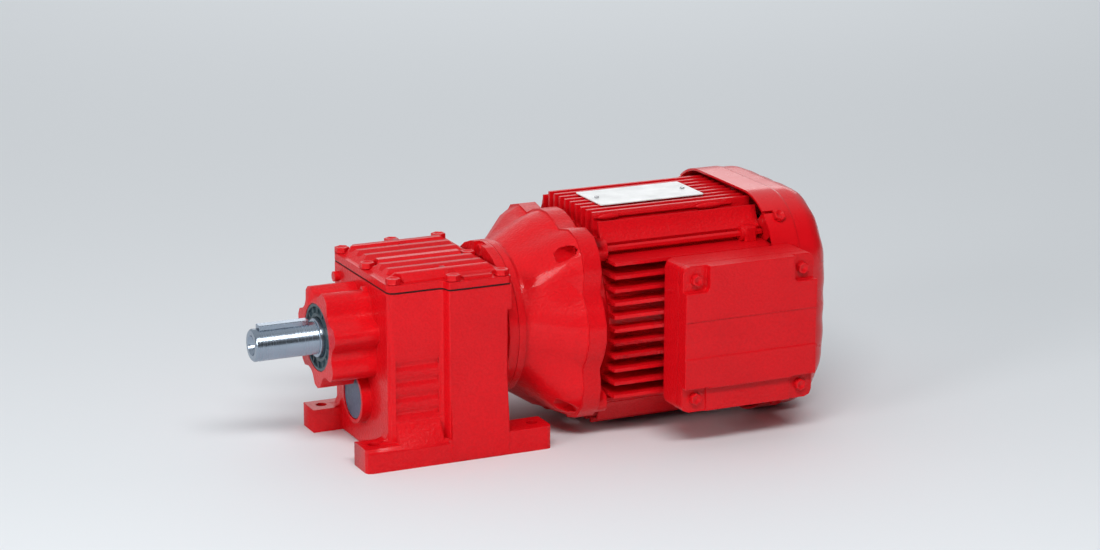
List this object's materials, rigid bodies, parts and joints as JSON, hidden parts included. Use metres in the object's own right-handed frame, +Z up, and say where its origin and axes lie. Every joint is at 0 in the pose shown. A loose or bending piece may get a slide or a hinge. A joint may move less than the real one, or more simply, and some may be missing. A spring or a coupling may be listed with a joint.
{
  "type": "helical gear unit",
  "caption": "Foot-mounted in-line helical gearmotor with a keyed output shaft, ribbed cast gear case, finned motor, side terminal box and domed fan cowl.",
  "frame": {"origin": "centre of the foot hole pattern, on the foot plane, under the output shaft axis", "axes": "+Z up from the feet, +X from the output shaft towards the fan cowl, the terminal box on -Y"},
  "size_m": [0.45, 0.2153, 0.1792],
  "materials": {
    "cast_red_paint": "semi_gloss",
    "sheet_red_paint": "gloss",
    "bright_steel": "satin",
    "ground_gear_steel": "satin",
    "seal_rubber": "matte",
    "cap_rubber": "matte",
    "gasket_dark": "matte",
    "core_lamination": "matte",
    "varnished_copper": "semi_gloss",
    "cast_aluminium": "satin",
    "black_plastic": "matte",
    "blank_plate": "satin"
  },
  "bodies": {
    "housing": {"cable_entry_plug_1": "black_plastic", "cable_entry_plug_2": "black_plastic", "countershaft_bearing_front": "bright_steel", "countershaft_bearing_rear": "bright_steel", "countershaft_cap": "cap_rubber", "cover_bolt_1": "cast_red_paint", "cover_bolt_2": "cast_red_paint", "cover_bolt_3": "cast_red_paint", "cover_bolt_4": "cast_red_paint", "cover_bolt_5": "cast_red_paint", "cover_bolt_6": "cast_red_paint", "cover_bolt_7": "cast_red_paint", "cover_bolt_8": "cast_red_paint", "cover_gasket": "gasket_dark", "cowl_screw_1": "sheet_red_paint", "cowl_screw_2": "sheet_red_paint", "cowl_screw_3": "sheet_red_paint", "cowl_screw_4": "sheet_red_paint", "fan_cowl": "sheet_red_paint", "flange_bolt_inner_1": "bright_steel", "flange_bolt_inner_2": "bright_steel", "flange_bolt_outer_1": "cast_red_paint", "gear_housing": "cast_red_paint", "housing_cover": "cast_red_paint", "motor_bearing_front": "bright_steel", "motor_bearing_rear": "bright_steel", "motor_end_shield": "cast_red_paint", "motor_oil_seal": "seal_rubber", "nameplate": "blank_plate", "nameplate_rivet_1": "bright_steel", "nameplate_rivet_2": "bright_steel", "output_bearing_front": "bright_steel", "output_bearing_rear": "bright_steel", "output_seal": "seal_rubber", "rear_end_shield": "cast_red_paint", "stator_core": "core_lamination", "stator_housing": "cast_red_paint", "terminal_board": "black_plastic", "terminal_box": "cast_red_paint", "terminal_lid": "cast_red_paint", "terminal_lid_screw_1": "cast_red_paint", "terminal_lid_screw_2": "cast_red_paint", "terminal_lid_screw_3": "cast_red_paint", "terminal_lid_screw_4": "cast_red_paint", "tie_bolt_1": "cast_red_paint", "tie_bolt_2": "cast_red_paint", "tie_bolt_3": "cast_red_paint", "tie_bolt_4": "cast_red_paint", "winding_front": "varnished_copper", "winding_rear": "varnished_copper"},
    "output": {"output_shaft": "bright_steel", "output_gear": "ground_gear_steel", "output_key": "bright_steel"},
    "countershaft": {"countershaft": "bright_steel", "countershaft_wheel": "ground_gear_steel"},
    "rotor": {"rotor_shaft": "bright_steel", "motor_pinion": "ground_gear_steel", "rotor_core": "cast_aluminium", "cooling_fan": "black_plastic"}
  },
  "joints": [
    {"name": "rotor_spin", "type": "hinge", "parent": "housing", "child": "rotor", "pos_m": [0, 0, 0.09], "axis": [1, 0, 0], "continuous": true},
    {"name": "countershaft_spin", "type": "hinge", "parent": "housing", "child": "countershaft", "pos_m": [0, 0, 0.04], "axis": [1, 0, 0], "continuous": true},
    {"name": "output_spin", "type": "hinge", "parent": "housing", "child": "output", "pos_m": [0, 0, 0.09], "axis": [1, 0, 0], "continuous": true}
  ],
  "couplings": [
    {"joint": "countershaft_spin", "follows": "rotor_spin", "ratio": -0.68421},
    {"joint": "output_spin", "follows": "rotor_spin", "ratio": 0.28173}
  ]
}
